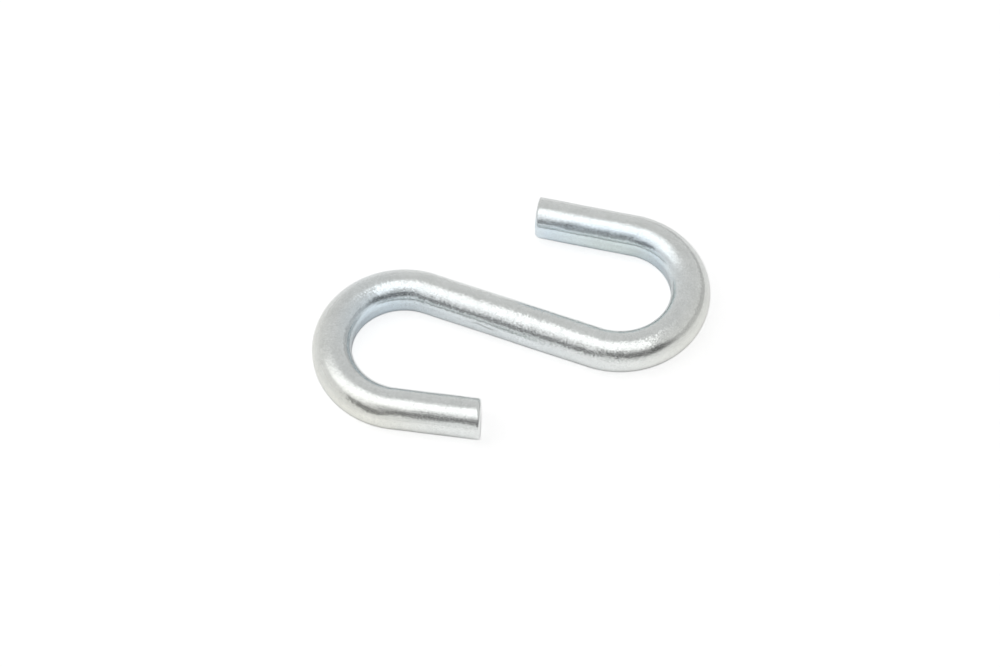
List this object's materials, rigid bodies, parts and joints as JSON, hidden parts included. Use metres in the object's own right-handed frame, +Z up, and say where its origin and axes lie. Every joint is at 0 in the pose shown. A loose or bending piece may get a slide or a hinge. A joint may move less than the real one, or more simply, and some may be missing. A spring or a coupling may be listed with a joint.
{
  "type": "s hook",
  "caption": "Zinc-plated steel wire S hook with a round open bend and a short straight tail at each end, for hanging or linking things.",
  "frame": {"origin": "middle of the rectangle that the hook covers when it lies flat, on the surface that it lies on", "axes": "+X along the line of pull through the centres of both bends, towards the second bend; +Y across it in the plane of the wire, towards the second tail's tip; +Z up, square to the plane of the wire"},
  "size_m": [0.039, 0.0236, 0.004],
  "materials": {
    "zinc_plated_steel": "bright zinc plating on drawn steel wire, semi-gloss with a fine grain and a faint blue and straw cast"
  },
  "bodies": {
    "root": {"hook": "zinc_plated_steel"}
  },
  "joints": []
}
